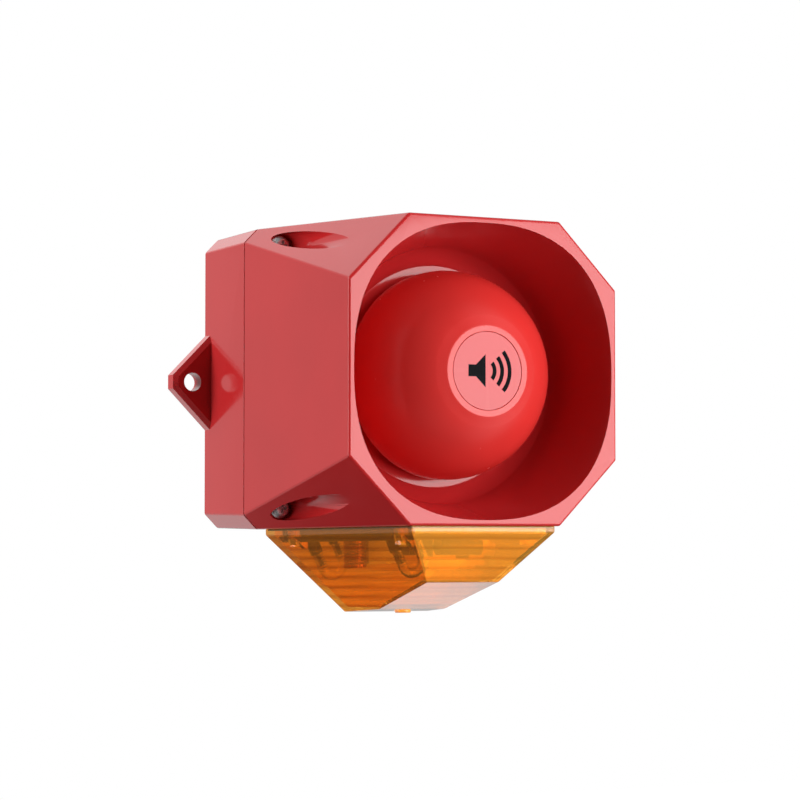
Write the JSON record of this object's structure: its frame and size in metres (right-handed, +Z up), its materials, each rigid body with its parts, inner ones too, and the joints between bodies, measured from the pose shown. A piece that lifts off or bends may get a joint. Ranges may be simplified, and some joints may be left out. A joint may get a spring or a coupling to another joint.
{
  "type": "horn strobe",
  "caption": "Wall-mounted fire alarm horn strobe: flared octagonal red sounder with a re-entrant horn, captive-screw cover and a faceted amber xenon beacon underneath.",
  "frame": {"origin": "on the wall plane, midway between the two wall screws", "axes": "-Y out of the wall towards the viewer, +X to the viewer's right along the line of wall screws, +Z up"},
  "size_m": [0.1736, 0.1464, 0.1775],
  "materials": {
    "red_moulding": "glossy signal-red moulded ABS with a light orange peel",
    "horn_moulding": "glossy signal-red moulded ABS",
    "badge_face": "satin red disc with a plain black sound-wave symbol",
    "black_rubber": "matt black rubber",
    "black_moulding": "matt black glass-filled nylon",
    "insert_brass": "knurled brass",
    "zinc_screws": "bright zinc-plated steel",
    "plain_steel": "nickel-plated soft iron",
    "ferrite": "dark grey sintered ferrite",
    "phenolic": "brown phenolic",
    "copper_winding": "varnished copper wire",
    "lead_insulation": "red insulated lead",
    "circuit_board": "green solder mask",
    "terminal_green": "green polyamide",
    "switch_red": "red switch body",
    "lever_white": "white lever",
    "trimmer_blue": "blue trimmer body",
    "capacitor_sleeve": "dark sleeve",
    "film_box": "pale moulded capacitor box",
    "chip_black": "black epoxy",
    "core_grey": "grey core and wound parts",
    "winding_tape": "yellow tape over a winding",
    "amber_lens": "clear amber polycarbonate, polished outside and ribbed inside",
    "tube_glass": "clear glass"
  },
  "bodies": {
    "wall_box": {"back_box": "red_moulding", "box_seal": "black_rubber", "thread_inserts": "insert_brass", "blanking_plug": "black_moulding", "blanking_plug_nut": "black_moulding", "blanking_plug_seal": "black_rubber"},
    "cover": {"front_housing": "red_moulding", "horn_flare": "horn_moulding", "cover_screws": "zinc_screws", "cover_screw_washers": "zinc_screws", "cover_screw_o_rings": "black_rubber", "horn_dome": "horn_moulding", "dome_badge": "badge_face", "dome_screws": "zinc_screws", "throat_tube": "black_moulding", "driver_front_plate": "black_moulding", "driver_spacer_ring": "phenolic", "driver_top_plate": "plain_steel", "driver_magnet": "ferrite", "driver_back_plate": "plain_steel", "driver_cover": "black_moulding", "driver_screws": "zinc_screws", "driver_leads": "lead_insulation", "sounder_board": "circuit_board", "board_screws": "zinc_screws", "terminal_block": "terminal_green", "terminal_screws": "zinc_screws", "tone_switch_body": "switch_red", "volume_trimmer_body": "trimmer_blue", "capacitors": "capacitor_sleeve", "transformer_core": "core_grey", "transformer_winding": "winding_tape", "logic_chips": "chip_black", "beacon_lens": "amber_lens", "beacon_seal": "black_rubber", "beacon_tray": "black_moulding", "lens_screws": "zinc_screws", "beacon_board": "circuit_board", "beacon_board_screws": "zinc_screws", "flash_tubes": "tube_glass", "flash_tube_sockets": "black_moulding", "flash_capacitor": "capacitor_sleeve", "film_capacitor": "film_box", "trigger_coil": "copper_winding", "beacon_inductors": "core_grey", "beacon_leads": "lead_insulation"},
    "diaphragm": {"driver_diaphragm": "phenolic", "voice_coil": "copper_winding"},
    "volume_rotor": {"volume_rotor": "lever_white"},
    "tone_lever_1": {"tone_lever_1": "lever_white"},
    "tone_lever_2": {"tone_lever_2": "lever_white"},
    "tone_lever_3": {"tone_lever_3": "lever_white"},
    "tone_lever_4": {"tone_lever_4": "lever_white"},
    "tone_lever_5": {"tone_lever_5": "lever_white"}
  },
  "joints": [
    {"name": "cover_removal", "type": "slide", "parent": "wall_box", "child": "cover", "axis": [0, -1, 0], "range_m": [0, 0.07]},
    {"name": "diaphragm_stroke", "type": "slide", "parent": "cover", "child": "diaphragm", "axis": [0, -1, 0], "range_m": [-0.0003, 0.0003], "stiffness_N_per_m": 2000},
    {"name": "volume_turn", "type": "hinge", "parent": "cover", "child": "volume_rotor", "pos_m": [-0.026, -0.05, -0.004], "axis": [0, 1, 0], "range_deg": [0, 270]},
    {"name": "tone_lever_1_throw", "type": "slide", "parent": "cover", "child": "tone_lever_1", "axis": [-1, 0, 0], "range_m": [0, 0.0016]},
    {"name": "tone_lever_2_throw", "type": "slide", "parent": "cover", "child": "tone_lever_2", "axis": [-1, 0, 0], "range_m": [0, 0.0016]},
    {"name": "tone_lever_3_throw", "type": "slide", "parent": "cover", "child": "tone_lever_3", "axis": [-1, 0, 0], "range_m": [0, 0.0016]},
    {"name": "tone_lever_4_throw", "type": "slide", "parent": "cover", "child": "tone_lever_4", "axis": [-1, 0, 0], "range_m": [0, 0.0016]},
    {"name": "tone_lever_5_throw", "type": "slide", "parent": "cover", "child": "tone_lever_5", "axis": [-1, 0, 0], "range_m": [0, 0.0016]}
  ]
}
